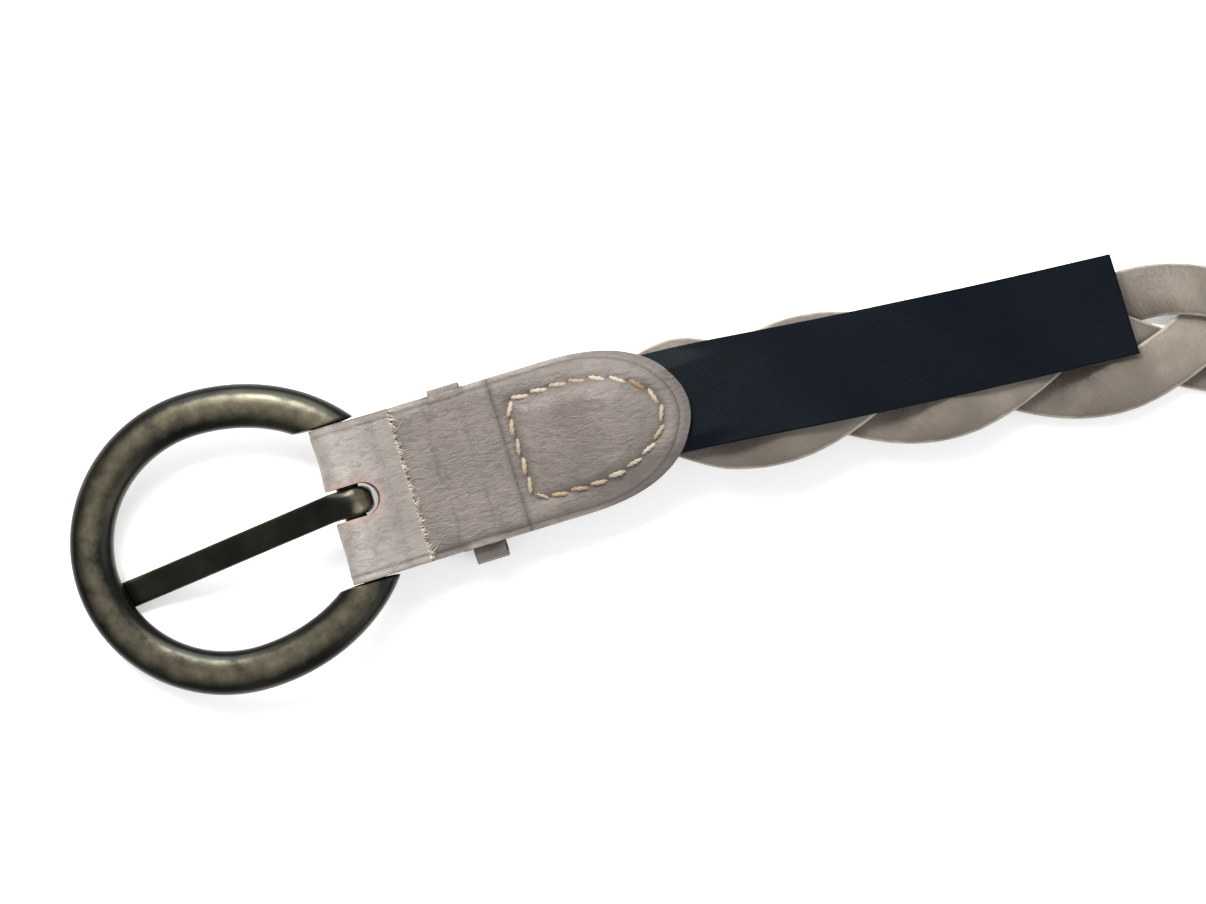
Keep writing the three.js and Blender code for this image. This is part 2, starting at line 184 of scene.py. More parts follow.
def product(*terms):
    """The first two terms multiplied, plus the third where there is one."""
    operation = "MULTIPLY_ADD" if len(terms) > 2 else "MULTIPLY"
    return node(terms[0], "ShaderNodeMath", dict(enumerate(terms)), operation=operation).outputs[0]


def ranged(value, low, high, at_low=0.0, at_high=1.0):
    """A value read on a straight line from one number at low to another at high, and level beyond."""
    inputs = {"Value": value, "From Min": low, "From Max": high, "To Min": at_low, "To Max": at_high}
    return node(value, "ShaderNodeMapRange", inputs).outputs[0]


def ramp(factor, stops):
    """A colour ramp with the given (place, colour) stops."""
    made = node(factor, "ShaderNodeValToRGB", {"Fac": factor})
    elements = made.color_ramp.elements
    elements[0].position, elements[0].color = stops[0][0], (*stops[0][1], 1)
    elements[1].position, elements[1].color = stops[-1][0], (*stops[-1][1], 1)
    for place, colour in stops[1:-1]:
        elements.new(place).color = (*colour, 1)
    return made.outputs["Color"]


def layered(body, *layers):
    """A colour with plain colours laid over it in turn, each as far as its own factor says. Sockets 6
    and 7 of the mixing node are its two colours, and output 2 is the mixed one."""
    for factor, colour in layers:
        sockets = {0: factor, 6: body, 7: (*colour, 1)}
        body = node(body, "ShaderNodeMix", sockets, data_type="RGBA").outputs[2]
    return body


def bumps(*layers):
    """The surface's tilt from bumps laid one on the other: a height, its depth in metres, a strength."""
    tilt = {}
    for height, depth, strength in layers:
        inputs = {"Height": height, "Distance": depth, "Strength": strength, **tilt}
        tilt = {"Normal": node(height, "ShaderNodeBump", inputs).outputs["Normal"]}
    return tilt["Normal"]


def brass_finish():
    """Dark plating in clouds of brown and green-black, brighter where rubbed, with fine scratches."""
    material, tree = new_finish("antique_brass", Metallic=1.0)
    where = object_place(tree)
    clouds = noise(where, 60, 5, 0.55)
    patches = noise(where, 260, 5, 0.6)
    scratches = noise(stretched(where, (1.0, 0.25, 1.0)), 2600, 3, 0.7)
    pits = noise(where, 700, 3)
    rubbed = ranged(product(carried(tree, "rubbed"), patches), 0.12, 0.95)
    body = ramp(clouds, [(0.3, green_black), (0.52, brown_black), (0.75, dull_brown)])
    return patterned(
        material,
        Base_Color=layered(body, (rubbed, bare_brass)),
        Roughness=ranged(clouds, 0, 1, 0.36, 0.24),
        Normal=bumps((scratches, 0.00003, 0.5), (pits, 0.00006, 0.3)),
    )


brass = brass_finish()

ring_low = ring_thickness / 2 + gap + tongue_thickness
tongue_end_radius = np.hypot(tongue_reach, ring_low)
ring_tilt = np.arcsin((bar_height - resting_gap) / tongue_end_radius) - np.arctan2(ring_low, tongue_reach)


def tipped(points):
    """Points drawn round the bar's axis, tipped down with the ring and lifted to the bar's height."""
    x, y, z = np.moveaxis(points, -1, 0)
    c, s = np.cos(ring_tilt), np.sin(ring_tilt)
    return np.stack([x * c - z * s, y, x * s + z * c + bar_height], -1)


def ring_surface(steps=130, sides=40):
    """Squared ovals, each between a point of the outer edge and one of the inner edge. Each edge runs
    along the bar, turns out beside the chape through a small round, and follows an oval to the far side."""
    edge = chape_half + ring_clearance
    turn = full_turn(sides)[None, :]
    along_bar = np.linspace(0, 1, 12, endpoint=False)
    corner = np.linspace(0, np.pi / 2, 16)
    run = np.linspace(0, 1, steps)[1:]

    def half_edge(inset, bar_side):
        """One half of an edge: a line beside the bar, a quarter round, then the oval's cosine and sine."""
        high = ring_half_height - inset
        begins = np.arcsin((edge + shoulder_round) / high)
        angle = begins + (np.pi - begins) * run
        half = np.where(np.cos(angle) > 0, ring_half_near, ring_half_far) - inset
        line = ring_centre_to_bar + bar_side
        shoulder = (ring_half_near - inset) * np.cos(begins) - line
        bar = np.stack([np.full(len(along_bar), line), edge * along_bar], -1)
        side_y = edge + shoulder_round * (1 - np.cos(corner))
        side = np.stack([line + shoulder * np.sin(corner), side_y], -1)
        return np.vstack([bar, side, np.stack([half * np.cos(angle), high * np.sin(angle)], -1)])

    halves = half_edge(0, bar_radius), half_edge(ring_band, -bar_radius)
    outer, inner = (np.vstack([half, half[-2:0:-1] * [1, -1]])[:, None, :] for half in halves)
    share = np.r_[np.zeros(len(along_bar)), np.sin(corner), np.ones(len(run))]
    share = np.r_[share, share[-2:0:-1]][:, None]
    thickness = 2 * bar_radius + (ring_thickness - 2 * bar_radius) * share
    square = 1 - ring_squareness * share
    out = powered(np.cos(turn), square)
    up = -powered(np.sin(turn), square)
    plan = (outer + inner) / 2 + out[..., None] * (outer - inner) / 2
    points = np.stack([plan[..., 0] - ring_centre_to_bar, plan[..., 1], up * thickness / 2], -1)
    return points, near(np.abs(out), crown_share) * share


points, rubbed = ring_surface()
faces = grid_faces(*points.shape[:2], True, True)
make_piece(
    "ring", tipped(points), faces, [brass], "frame", "antique_brass", ["buckle_frame"], rubbed=rubbed
)

# Buckle tongue: a flat brass strip curled round the bar at its root. Its blade slopes down through
# the ring and bends level to pass under the far side, where it is stopped.
tongue_width = 6.2
tongue_skew = 0.1
tongue_wrap = 200.0
tongue_clearance = 0.3
tongue_corner = 0.35
nose_length = 2.6
heel_length = 1.6
end_size = 0.02
knee_before_end = ring_band + 4
curl_round_start = 1.6
curl_round_length = 3.55
curl_crown = 0.7


def ease(t):
    """Zero below 0, one above 1, and 3t^2 - 2t^3 between."""
    t = np.clip(t, 0.0, 1.0)
    return t * t * (3 - 2 * t)


def rounded_section(half_width, half_depth, corner, count=32):
    """A rectangle with round corners, as points across and up, evenly spaced in angle."""
    turn = full_turn(count) + np.pi / count
    power = 2 / (2 + 6 * (1 - corner))
    return powered(np.cos(turn), power) * half_width, powered(np.sin(turn), power) * half_depth


def along_route(route, spacing):
    """Points at even spacing along a line of points, and the distance to each."""
    length = np.r_[0, np.cumsum(np.linalg.norm(np.diff(route, axis=0), axis=1))]
    even = np.linspace(0, length[-1], int(np.ceil(length[-1] / spacing)) + 1)
    return np.stack([np.interp(even, length, route[:, k]) for k in range(route.shape[1])], -1), even


def smoothed(route, times):
    """A line of points with its bends eased, ends kept: each pass is a quarter, half, quarter average."""
    for _ in range(times):
        route[1:-1] = route[:-2] / 4 + route[1:-1] / 2 + route[2:] / 4
    return route


def capped_faces(rows, columns, count=1):
    """Faces of tubes of rows of points with an end face at each end, for so many tubes in turn."""
    ends = [list(range(columns))[::-1], list(range((rows - 1) * columns, rows * columns))]
    tube = grid_faces(rows, columns, wrap_columns=True).tolist() + ends
    return [[i + k * rows * columns for i in face] for k in range(count) for face in tube]


def tongue_surface():
    """The section carried along the blade and round the curl, drawn in to a round nose at both ends.
    Round the bar its sides follow the slot's half-round and its back is crowned by a square of the
    place across."""
    curl = bar_radius + tongue_clearance + tongue_thickness / 2
    under = ring_thickness / 2 + gap + tongue_thickness / 2
    knee = np.array([knee_before_end - tongue_reach, -under])
    slope = np.arctan2(-knee[1], -knee[0]) + np.arcsin(curl / np.hypot(*knee))
    turn = np.pi / 2 + slope - np.radians(np.linspace(0, tongue_wrap, 60))
    bend = np.stack([curl * np.cos(turn), curl * np.sin(turn)], -1)
    route, length = along_route(np.vstack([[-tongue_reach, -under], knee, bend]), 0.5)
    route = smoothed(route, 12)
    ahead = np.gradient(route, axis=0)
    ahead /= np.linalg.norm(ahead, axis=1)[:, None]
    across, up = rounded_section(tongue_width / 2, tongue_thickness / 2, tongue_corner)
    nose = np.sqrt(1 - (1 - np.clip(length / nose_length, 0, 1)) ** 2)
    heel = np.sqrt(1 - (1 - np.clip((length[-1] - length) / heel_length, 0, 1)) ** 2)
    narrow = (end_size + (1 - end_size) * nose * heel)[:, None]
    thin = (end_size + (1 - end_size) * np.sqrt(nose * heel))[:, None]
    x = route[:, :1] - ahead[:, 1:] * up * thin
    z = route[:, 1:] + ahead[:, :1] * up * thin
    y = across * narrow + tongue_skew * np.minimum(x + curl, 0)
    into_round = np.maximum(x - curl_round_start, 0) / curl_round_length
    y = y * np.sqrt(np.clip(1 - into_round**2, 0.04, 1))
    crown = curl_crown * (across / (tongue_width / 2)) ** 2
    z = z - ease((x + 5) / 5) * (up > 0) * crown * thin
    corners = 0.75 * near(np.abs(np.abs(across) - tongue_width / 2 + 0.1), 0.25)
    return np.stack([x, y, z], -1), np.maximum((up > 0) * 0.9 * ease((x + 1) / 4), corners)


points, rubbed = tongue_surface()
faces = capped_faces(*points.shape[:2])
make_piece(
    "tongue", tipped(points), faces, [brass], "tongue", "antique_brass", ["buckle_tongue"], rubbed=rubbed
)

# Chape strap: one strip of split taupe leather folded round the bar, with a long leg to the rounded
# end on the outer face and a short leg on the inner face. The slot for the tongue is punched through
# the fold, which is creased and rubbed pale where it bends.
leather = 1.8
leather_cut_round = 0.00028
fold_radius = bar_radius + 0.4
fold_leg_end = 13.3
fold_leg_flat = 4.0
fold_crease_inset = 1.6
fold_crease_depth = 0.16
fold_waves = ((0.035, 3.1, 0.6), (0.03, 1.7, -0.9))
chape_length = 77.0
chape_rounding = 27.0
slot_half = 3.7
slot_length = 7.4
slot_length_inside = 6.3
keeper_leather = 1.6
front_top = bar_height - fold_radius
front_bottom = front_top - leather
cover_bottom = front_top + gap + keeper_leather + gap


def srgb(red, green, blue):
    """A colour in screen values from 0 to 255, as the linear values that shaders take."""
    share = np.array([red, green, blue]) / 255
    linear = np.where(share <= 0.04045, share / 12.92, ((share + 0.055) / 1.055) ** 2.4)
    return tuple(float(v) for v in linear)


raw_flesh = srgb(142, 112, 104)


def pore_distance(where, scale):
    """Distance to the nearest pore, with pores strewn at so many to the metre."""
    return node(where, "ShaderNodeTexVoronoi", {"Vector": where, "Scale": scale}).outputs["Distance"]


def leather_finish(name, deep, main, pale, edge, wrinkles, rough=0.5):
    """Grained leather: clouds from the deep to the main colour, pale where the piece's value for wear
    and highlight says, which is partly rubbed wear and partly painted highlight, the edge colour where
    its 'edge' value says, which is partly a painted cut edge and partly painted shade in creases, seams
    and joints, pink flesh where its 'raw' value says, with pores, fine wrinkles along the strap and a
    soft gloss. The pores and wrinkles are darkened as painted shade."""
    uniform = {"Specular_IOR_Level": 0.4, "Sheen_Weight": 0.12, "Sheen_Roughness": 0.5}
    material, tree = new_finish(name, **uniform)
    where = object_place(tree)
    clouds = noise(where, 90, 4, 0.5, 0.2)
    patches = noise(where, 330, 4, 0.6)
    creases = noise(stretched(where, (0.36, 1.0, 0.7)), 1000, 4, 0.6, 0.8)
    grain = noise(where, 1500, 3, 0.6)
    pores = pore_distance(where, 2300)
    # This pale mark is rubbed wear in part and painted highlight on rims and pads in part.
    rubbed = ranged(product(carried(tree, "worn"), patches), 0.1, 0.6)
    body = layered(
        ramp(clouds, [(0.25, deep), (0.62, main)]),
        (rubbed, pale),
        # Darker in the pores and in the creases: painted shade.
        (ranged(pores, 0.12, 0.5, 0.16, 0.0), tuple(0.45 * v for v in deep)),
        (ranged(creases, 0.34, 0.5, 0.42, 0.0), tuple(0.6 * v for v in deep)),
        (carried(tree, "edge"), edge),
        (carried(tree, "raw"), raw_flesh),
    )
    return patterned(
        material,
        Base_Color=body,
        Roughness=ranged(clouds, 0, 1, rough - 0.07, rough + 0.1),
        Normal=bumps((creases, 0.00042, wrinkles), (grain, 0.00006, 0.5), (pores, 0.00005, 0.5)),
    )


def raw_edge_finish(name, dark, pale):
    """The cut side of leather: painted, with pale fibres showing through in short streaks."""
    material, tree = new_finish(name, Roughness=0.8, Specular_IOR_Level=0.25)
    fibres = noise(stretched(object_place(tree), (1.0, 1.0, 3.0)), 1300, 4, 0.65)
    colour = ramp(fibres, [(0.35, dark), (0.68, pale)])
    return patterned(material, Base_Color=colour, Normal=bumps((fibres, 0.00015, 0.7)))


panel_taupe = leather_finish(
    "panel_taupe", srgb(88, 80, 74), srgb(107, 99, 93), srgb(146, 139, 133), srgb(62, 56, 54), 0.9
)
fold_pale = leather_finish(
    "fold_pale", srgb(108, 101, 96), srgb(129, 122, 116), srgb(160, 153, 147), srgb(78, 71, 70), 0.55, 0.52
)
painted_edge = raw_edge_finish("painted_edge", srgb(86, 80, 78), srgb(126, 119, 116))


def add_wall(piece, thickness):
    """A wall of so many millimetres, half of it to each side of the piece's surface."""
    wall = piece.modifiers.new("wall", "SOLIDIFY")
    wall.thickness = thickness * 0.001
    wall.offset = 0
    return wall


def leather_sheet(name, stands_for, middle, thickness, face, wrap=False, halves=False, **values):
    """A panel from its middle surface, a grid of points, with a wall of the given thickness. Points
    that fall together are merged first, and two halves side by side join only where they do. Its
    cut sides are painted, and are rounded over."""
    rows, columns = middle.shape[:2]
    points = middle.reshape(-1, 3)
    _, first, which = np.unique(np.round(points, 4), axis=0, return_index=True, return_inverse=True)
    grid = grid_faces(rows, columns, wrap_rows=wrap)
    if halves:
        grid = grid[grid[:, 0] % columns != columns // 2 - 1]
    faces = [list(dict.fromkeys(quad)) for quad in which.reshape(-1)[grid].tolist()]
    faces = [corners for corners in faces if len(corners) > 2]
    kept = {key: np.broadcast_to(value, (rows, columns)).ravel()[first] for key, value in values.items()}
    piece = make_piece(
        name, points[first], faces, [face, painted_edge], "belt", "panel_leather", [stands_for], **kept
    )
    wall = add_wall(piece, thickness)
    wall.use_even_offset = True
    wall.material_offset_rim = 1
    rim = piece.modifiers.new("rim", "BEVEL")
    rim.width = leather_cut_round
    rim.segments = 3
    rim.limit_method = "ANGLE"
    rim.angle_limit = np.radians(50)


def end_half(x, end, width, rounding):
    """Half the width of a leather end at x: straight sides, then a half-oval."""
    into = np.clip((x - end + rounding) / rounding, 0, 1)
    return width / 2 * np.sqrt(np.maximum(1 - into * into, 0))


def end_places(start, end, rounding, straight, round_part):
    """Places along a leather end: even along its straight sides, closer together round its oval."""
    side = np.linspace(start, end - rounding, straight, endpoint=False)
    return np.r_[side, end - rounding + rounding * np.sin(np.linspace(0, np.pi / 2, round_part))]


def chape_surface():
    """The strip's middle line: short leg, round the bar, long leg. Across it the places run from the
    slot's side to the outer edge on each half, so the slot's ends are half-rounds. Sines across the
    belt swell the fold, and a bell presses a crease along each side."""
    radius = fold_radius + leather / 2
    leg = cover_bottom + leather / 2 - bar_height
    leg_start = np.array([fold_leg_end - fold_leg_flat, leg])
    touch = np.arctan2(leg_start[1], leg_start[0]) + np.arccos(radius / np.hypot(*leg_start))
    turn = np.linspace(touch, 1.5 * np.pi, 90)
    bend = np.stack([radius * np.cos(turn), radius * np.sin(turn)], -1)
    beside_slot = np.linspace(0, slot_length, 30)[1:]
    beyond_slot = end_places(slot_length, chape_length, chape_rounding, 40, 70)[1:]
    under_x = np.r_[beside_slot, beyond_slot]
    under = np.stack([under_x, np.full(len(under_x), -radius)], -1)
    short = np.stack([np.linspace(fold_leg_end, leg_start[0], 16), np.full(16, leg)], -1)
    round_end = slot_length_inside - slot_half * (1 - np.cos(np.linspace(0, np.pi / 2, 24)))
    before = np.linspace(leg_start[0], slot_length_inside, 12)[1:-1]
    after = np.linspace(round_end[-1], bend[0, 0], 8)[1:-1]
    slope_x = np.r_[before, round_end, after]
    down = (leg_start[0] - slope_x) / (leg_start[0] - bend[0, 0])
    slope = leg_start + (bend[0] - leg_start) * down[:, None]
    x, z = np.vstack([short, slope, bend, under]).T
    slot_end = np.where(z > 0, slot_length_inside, slot_length)
    into = np.clip((x - slot_end + slot_half) / slot_half, 0, 1)
    inner = slot_half * np.sqrt(1 - into * into)
    outer = np.where(z < 0, end_half(x, chape_length, 2 * chape_half, chape_rounding), chape_half)
    outer = np.maximum(outer, inner)
    share = np.sin(np.linspace(0, np.pi / 2, 22))
    half = inner[:, None] + (outer - inner)[:, None] * share
    y = np.concatenate([-half[:, ::-1], half], 1)
    from_edge = outer[:, None] - np.abs(y)
    from_slot = np.hypot(np.maximum(x - slot_end + slot_half, 0)[:, None], y) - slot_half
    x, z = x[:, None], z[:, None]
    waves = sum(size * np.sin(y / length + start) for size, length, start in fold_waves)
    grow = 1 + ease((10 - x) / 12) * (waves - 0.03 * (np.abs(y) > 16))
    top = np.where(z > 0, 1, 0.3)
    crease = fold_crease_depth * top * near(np.abs(from_edge - fold_crease_inset), 0.4)
    high = z * (1 + (grow - 1) * top) - crease + bar_height
    return np.stack([x * np.where(x < 0, grow, 1), y, high], -1), from_edge, from_slot


middle, from_edge, from_slot = chape_surface()
from_bar = np.hypot(middle[..., 0], middle[..., 2] - bar_height)
leather_sheet(
    "chape_leather", "chape_strap", middle, leather, fold_pale, halves=True,
    worn=np.maximum(0.6 * near(from_bar - fold_radius - 1, 5.0), near(from_slot, 0.8)),
    # The cut corner is painted dark; the line 1.7 mm in from each side is painted shade in the pressed
    # crease.
    edge=0.6 * near(from_edge, 0.4) + 0.8 * near(np.abs(from_edge - 1.7), 0.3),
    raw=0.8 * near(from_slot, 0.9),
)

# Fibres: the cut end of the chape's short leg is left raw. A fringe of fine pale leather hairs, torn
# loose by the knife, stands out of it over the cover.
fibre_root = 0.1
fibre_taper = 0.85
fibre_rows = np.linspace(0, 1, 6)
fibre_sides = 3


def fibre_points(count=260, seed=8):
    """Each fibre is a tapered three-sided hair that leaves the cut edge and bends down and sideways."""
    random = np.random.default_rng(seed)
    start_y = random.uniform(-chape_half + 0.3, chape_half - 0.3, count)[:, None, None]
    length = (random.gamma(3, 0.28, count) + 0.25)[:, None, None]
    lean = random.normal(0, 0.8, count)[:, None, None]
    droop = random.uniform(-0.25, 0.35, count)[:, None, None]
    start_z = cover_bottom + leather - 0.05 + random.uniform(-0.3, 0.2, count)[:, None, None]
    u = fibre_rows[None, :, None]
    turn = full_turn(fibre_sides)[None, None, :]
    radius = fibre_root * (1 - fibre_taper * u)
    x = fold_leg_end - 0.35 + length * u
    y = start_y + lean * u**1.5 * length + radius * np.cos(turn)
    return joined(x, y, start_z + droop * np.sin(2.4 * u) + radius * np.sin(turn))


def fibre_finish():
    """Split-leather fibre: pale, dull, a little yellower in some hairs."""
    material, tree = new_finish("raw_fibre", Roughness=0.85, Specular_IOR_Level=0.2, Sheen_Weight=0.2)
    where = object_place(tree)
    shades = noise(where, 500, 2)
    colour = ramp(shades, [(0.3, srgb(168, 150, 128)), (0.65, srgb(222, 214, 202))])
    streaks = noise(where, 4000, 2)
    return patterned(material, Base_Color=colour, Normal=bumps((streaks, 0.00004, 0.5)))


points = fibre_points()
faces = capped_faces(len(fibre_rows), fibre_sides, len(points))
make_piece("fold_fibres", points, faces, [fibre_finish()], "belt", "panel_leather")

# Keeper loop: a narrow leather band under the cover, bent round both edges of the chape and across
# its outer face. Its hanging side stands out past the chape's lower edge, with room for the tip.
keeper_start = 22.5
keeper_width = 7.0
keeper_end = keeper_start + keeper_width
keeper_room = 2.4
keeper_skive = 0.5
keeper_run_bottom = front_top + gap


def keeper_surface():
    """A round-cornered loop across the belt, and along the belt a band whose rows lie closer together at its
    sides.
    """
    half = keeper_leather / 2
    low, high = -(chape_half + keeper_room) - half, chape_half + gap + 0.3 * keeper_leather
    bottom, top = half, keeper_run_bottom + half
    corner = 0.9 * keeper_leather + half
    turn = np.linspace(0, np.pi / 2, 12)
    quarters = (
        (high - corner, bottom + corner, -np.pi / 2), (high - corner, top - corner, 0),
        (low + corner, top - corner, np.pi / 2), (low + corner, bottom + corner, np.pi),
    )
    loop = np.vstack([
        np.stack([y + corner * np.cos(turn + start), z + corner * np.sin(turn + start)], -1)
        for y, z, start in quarters
    ])
    route = along_route(np.vstack([loop, loop[:1]]), 0.8)[0][:-1]
    along = keeper_start + keeper_width * (1 - np.cos(np.linspace(0, np.pi, 14))) / 2
    return joined(along, route[:, :1], route[:, 1:])


middle = keeper_surface()
from_edge = np.minimum(middle[..., 0] - keeper_start, keeper_end - middle[..., 0])
leather_sheet(
    "keeper_band", "keeper_loop", middle, keeper_leather - keeper_skive, panel_taupe, wrap=True,
    worn=0.5 * near(from_edge, 0.8), edge=0.6 * near(from_edge, 0.4),
)

# Keeper cover: a flat skived leather panel glued over the keeper's hidden run, from the fold's short
# leg to the end patch. The run shows through it as a low ridge with a crease at each side.
cover_end = 36.0
cover_skive = 0.3
panel_joint = 0.15
ridge_height = 0.24
ridge_crease_depth = 0.2
roll_depth = 1.5
roll_width = 3.2
rim_crease_inset = 1.8
rim_crease_depth = 0.3


def side_roll(from_edge):
    """How far a panel is pressed down along its cut side: a round roll with a crease inside it."""
    crease = rim_crease_depth * near(np.abs(from_edge - rim_crease_inset), 0.45)
    return roll_depth * (1 - ease(from_edge / roll_width)) + crease


def rim_line(from_edge):
    """How dark a creased edge is: painted shade as a thin line along the roll's crease, and the painted dark
    of the cut's own corner.
    """
    return 0.85 * near(np.abs(from_edge - rim_crease_inset), 0.32) + 0.7 * near(from_edge, 0.3)


def across_places(count):
    """Places across a panel from -1 to 1, as a sine, so that they are closer together at its sides."""
    return np.sin(np.linspace(-np.pi / 2, np.pi / 2, count))[None, :]


def cover_surface():
    """Flat but for the keeper's ridge, its two creases, faint waves across, its ends turned down and
    its two sides rolled down to meet the outer leather. The creases wander as sines across."""
    x = np.linspace(fold_leg_end + panel_joint, cover_end, 120)[:, None]
    y = chape_half * across_places(60)
    wander = 0.45 * np.sin(0.33 * y + 0.8) + 0.25 * np.sin(0.85 * y + 2)
    ridge = ease((x + wander - keeper_start + 1.6) / 2.4) * ease((keeper_end + 1.3 - x - wander / 2) / 2.6)
    first = near(np.abs(x + wander - keeper_start + 1.8), 0.45) * (0.6 + 0.4 * np.sin(0.5 * y + 1))
    second = near(np.abs(x + wander / 2 - keeper_end + 0.6), 0.5) * (0.6 + 0.4 * np.sin(0.4 * y - 1))
    creases = first + second
    slow_waves = np.sin(0.9 * x - 0.13 * y) * 0.04
    waves = np.sin(2.3 * x + 0.21 * y + 1.4 * np.sin(0.16 * y)) * 0.035 + slow_waves
    ends = near(x - fold_leg_end, 0.8) * 0.45 + near(cover_end - x, 0.7) * 0.5
    from_edge = chape_half - np.abs(y)
    sides = side_roll(from_edge) * (1 - 0.8 * ridge)
    raised = ridge_height * ridge - ridge_crease_depth * creases + waves
    # Painted shade: darker in the keeper's two creases, under the fold's raw edge, and where the cover turns
    # down at the patch.
    shade = 0.5 * near(x - fold_leg_end, 0.5) + 0.3 * creases + 0.5 * near(cover_end - x, 0.5)
    return joined(x, y, cover_bottom + leather / 2 + raised - ends - sides), shade, from_edge


middle, shade, from_edge = cover_surface()
leather_sheet(
    "cover_leather", "keeper_cover", middle, leather - cover_skive, panel_taupe,
    # Pale along both sides: rubbed wear and a painted highlight on the rolled rim.
    worn=0.8 * near(from_edge, 1.4), edge=np.maximum(shade, rim_line(from_edge)),
)

# End patch: the rounded leather panel sewn over the ends of the strands and the label. The row of
# stitches pulls a channel round its padded middle, and leaves a low flat rim outside.
strand_thickness = 1.5
strand_spacing = strand_thickness + 0.95
braid_half_thickness = 1.05 * strand_spacing + strand_thickness / 2
chape_braid_height = front_top + gap + braid_half_thickness
label_thickness = 0.5
label_lift = braid_half_thickness + gap + label_thickness / 2
patch_top_inside = chape_braid_height + label_lift + label_thickness / 2 + gap
arch_start = cover_end + 1.2
arch_length = 28.0
arch_flat_half = 7.0
seam_edge = 2.6
chape_seam_inset = 6.0
chape_stitch = 4.6
patch_swell = 0.95
round_start = 52.0


def seam_route(start, end, width, rounding, inset, corner=1.6):
    """The closed row of a seam: a straight side across, two straight sides along, and a half-oval,
    with its two square corners rounded."""
    half = width / 2 - inset
    turn = np.linspace(-np.pi / 2, np.pi / 2, 160)
    oval = np.stack([end - rounding + (rounding - inset) * np.cos(turn), half * np.sin(turn)], -1)
    quarter = np.linspace(0, np.pi / 2, 12)
    corner_x, corner_y = corner - corner * np.cos(quarter), corner - corner * np.sin(quarter)
    lower = np.stack([start + corner_x, -half + corner_y], -1)
    return np.vstack([lower, oval, lower[::-1] * [1, -1], lower[:1]])


def from_points(x, y, places):
    """Distance in plan from each place to the nearest of some others."""
    return np.sqrt(((x[..., None] - places[:, 0]) ** 2 + (y[..., None] - places[:, 1]) ** 2).min(-1))


def from_route(x, y, route):
    """Distance in plan from each place to the nearest point of a route."""
    return from_points(x, y, along_route(route, 0.5)[0])


def stitch_ends(route, wanted):
    """Where the needle holes fall: the route shared into equal stitches of about the wanted length."""
    length = np.linalg.norm(np.diff(route, axis=0), axis=1).sum()
    holes, _ = along_route(route, length / round(length / wanted) * 0.99999)
    return holes[:-1]


def rounded_panel(start, end, width, rounding, counts):
    """Places over a leather end with a half-oval, and how far each lies inside its edge."""
    straight, round_part, across = counts
    x = end_places(start, end, rounding, straight, round_part)[:, None]
    y = end_half(x, end, width, rounding) * across_places(across)
    x = np.broadcast_to(x, y.shape)
    out = np.hypot(np.maximum(x - end + rounding, 0) / rounding, y / (width / 2))
    return x, y, (1 - out) * width / 2


chape_width = 2 * chape_half
chape_seam = seam_route(cover_end + seam_edge, chape_length, chape_width, chape_rounding, chape_seam_inset)
chape_holes = stitch_ends(chape_seam, chape_stitch)


def patch_arch(x, y):
    """Underside of the patch: a long rise over the strands, and an arch that comes down to its sides."""
    rise = ease((x - arch_start) / arch_length)
    fall = ease((np.abs(y) - arch_flat_half) / (chape_half - arch_flat_half))
    return cover_bottom + (patch_top_inside - cover_bottom) * rise * (1 - fall)


def patch_height(x, y):
    """Middle of the patch: level with the cover at first, rising over the strands, falling to its two
    sides, with a channel pressed along the seam, a dimple at each needle hole and a swell inside."""
    off = from_route(x, y, chape_seam)
    pressed = 0.5 * near(off, 1.2) + 0.4 * near(from_points(x, y, chape_holes), 0.7)
    into_end = np.maximum(x - chape_length + chape_rounding, 0) / (chape_rounding - chape_seam_inset)
    inside = np.hypot(into_end, y / (chape_half - chape_seam_inset)) < 1
    swell = patch_swell * ease(off / 5.5) * (inside & (x > cover_end + seam_edge))
    return patch_arch(x, y) + leather / 2 - pressed + swell


x, y, from_edge = rounded_panel(
    cover_end + panel_joint, chape_length, chape_width, chape_rounding, (50, 80, 110)
)
seam_off = from_route(x, y, chape_seam)
joint_crease = near(x - cover_end, 0.8)
round_share = ease((x - round_start) / 14)
rolled = side_roll(from_edge) * (1 - 0.5 * ease((x - round_start - 3) / 15))
z = patch_height(x, y) - 0.5 * joint_crease - rolled
# Painted shade: a line along the rim's crease, round each needle hole, along the seam's channel and in the
# crease at the joint with the cover. The rim of the round end is darker too.
dark = np.maximum(rim_line(from_edge), 0.8 * near(from_points(x, y, chape_holes), 0.5))
dark = np.maximum(dark, 0.6 * near(seam_off, 1.2) + 0.7 * joint_crease)
# A pale band inside the seam on the padded middle: rubbed wear and a painted highlight.
padding_worn = 0.35 * near(np.abs(seam_off - 3), 2) * (from_edge > 8)
leather_sheet(
    "patch_leather", "end_patch", np.stack([x, y, z], -1), leather, panel_taupe,
    # Pale along the rim except at the round end: rubbed wear and a painted highlight on the rolled rim.
    worn=0.8 * near(from_edge, 1.4) * (1 - round_share) + padding_worn,
    edge=np.maximum(dark, 0.5 * round_share * near(from_edge, 1.5)),
)

# Chape seams: separate stitches of twisted waxed thread, in cream with some tan, through the patch
# and the chape. Each one comes up at a needle hole, lies over the leather and goes down at the next.
ply_turns = 1.6
ply_depth = 0.2
stitch_slant = 0.8
stitch_lift = 0.35


